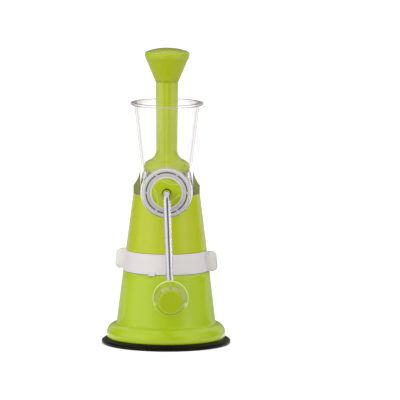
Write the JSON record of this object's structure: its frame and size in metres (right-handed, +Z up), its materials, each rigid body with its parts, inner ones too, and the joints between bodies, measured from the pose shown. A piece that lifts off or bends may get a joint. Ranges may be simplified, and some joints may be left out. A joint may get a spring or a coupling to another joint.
{
  "type": "manual wheatgrass juicer",
  "caption": "Hand cranked wheatgrass juicer with a clear hopper on a conical green stand, a turning lock ring and a suction foot.",
  "frame": {"origin": "middle of the suction pad's flat underside", "axes": "+Z up through the stand's axis, -Y toward the crank and its user, +X to the user's right"},
  "size_m": [0.1346, 0.1976, 0.31],
  "materials": {
    "lime_body": "glossy lime green moulded plastic",
    "lime_pusher": "glossy lime green moulded plastic",
    "lime_hub": "glossy lime green moulded plastic",
    "white_band": "satin warm white moulded plastic",
    "olive_wings": "satin olive green moulded plastic",
    "clear_plastic": "clear moulded plastic",
    "black_rubber": "matte black rubber",
    "bright_rod": "polished steel rod",
    "steel": "plain steel",
    "silicone": "milky silicone",
    "white_nylon": "natural nylon"
  },
  "bodies": {
    "stand": {"suction_pad": "black_rubber", "base": "lime_body", "body_screws": "steel", "upper_body": "lime_body", "saddle_wings": "olive_wings", "hopper_housing": "clear_plastic", "front_collar": "clear_plastic", "shaft_seal": "silicone", "strainer": "steel", "juice_cover": "clear_plastic", "cover_seal": "silicone", "pulp_nozzle": "clear_plastic"},
    "crank": {"drive_hub": "lime_hub", "drive_pin": "steel", "crank_rod": "bright_rod", "knob_clip": "steel", "auger_shaft": "steel", "auger": "lime_hub"},
    "knob": {"knob": "lime_hub", "knob_cap": "lime_hub"},
    "lock": {"lock_ring": "white_band", "cam_sleeve": "white_nylon"},
    "lift": {"pull_stud": "steel", "lift_bar": "steel", "stud_washer": "steel", "stud_nut": "steel"},
    "pusher": {"pusher_stem": "lime_pusher", "pusher_cap": "lime_pusher"},
    "rear_collar": {"rear_collar": "clear_plastic"}
  },
  "joints": [
    {"name": "crank_turn", "type": "hinge", "parent": "stand", "child": "crank", "pos_m": [0, 0, 0.164], "axis": [0, 1, 0], "continuous": true},
    {"name": "knob_spin", "type": "hinge", "parent": "crank", "child": "knob", "pos_m": [0.0045, 0, 0.05659], "axis": [0, 1, 0], "continuous": true},
    {"name": "lock_turn", "type": "hinge", "parent": "stand", "child": "lock", "pos_m": [0, 0, 0.086], "axis": [0, 0, -1], "range_deg": [0, 90]},
    {"name": "stud_lift", "type": "slide", "parent": "stand", "child": "lift", "axis": [0, 0, 1], "range_m": [0, 0.004]},
    {"name": "pusher_lift", "type": "slide", "parent": "stand", "child": "pusher", "axis": [0, 0, 1], "range_m": [0, 0.1]},
    {"name": "rear_collar_turn", "type": "hinge", "parent": "stand", "child": "rear_collar", "pos_m": [0, 0, 0.164], "axis": [0, 1, 0], "range_deg": [0, 45]}
  ],
  "couplings": [
    {"joint": "stud_lift", "follows": "lock_turn", "m_per_rad": 0.0025465}
  ]
}
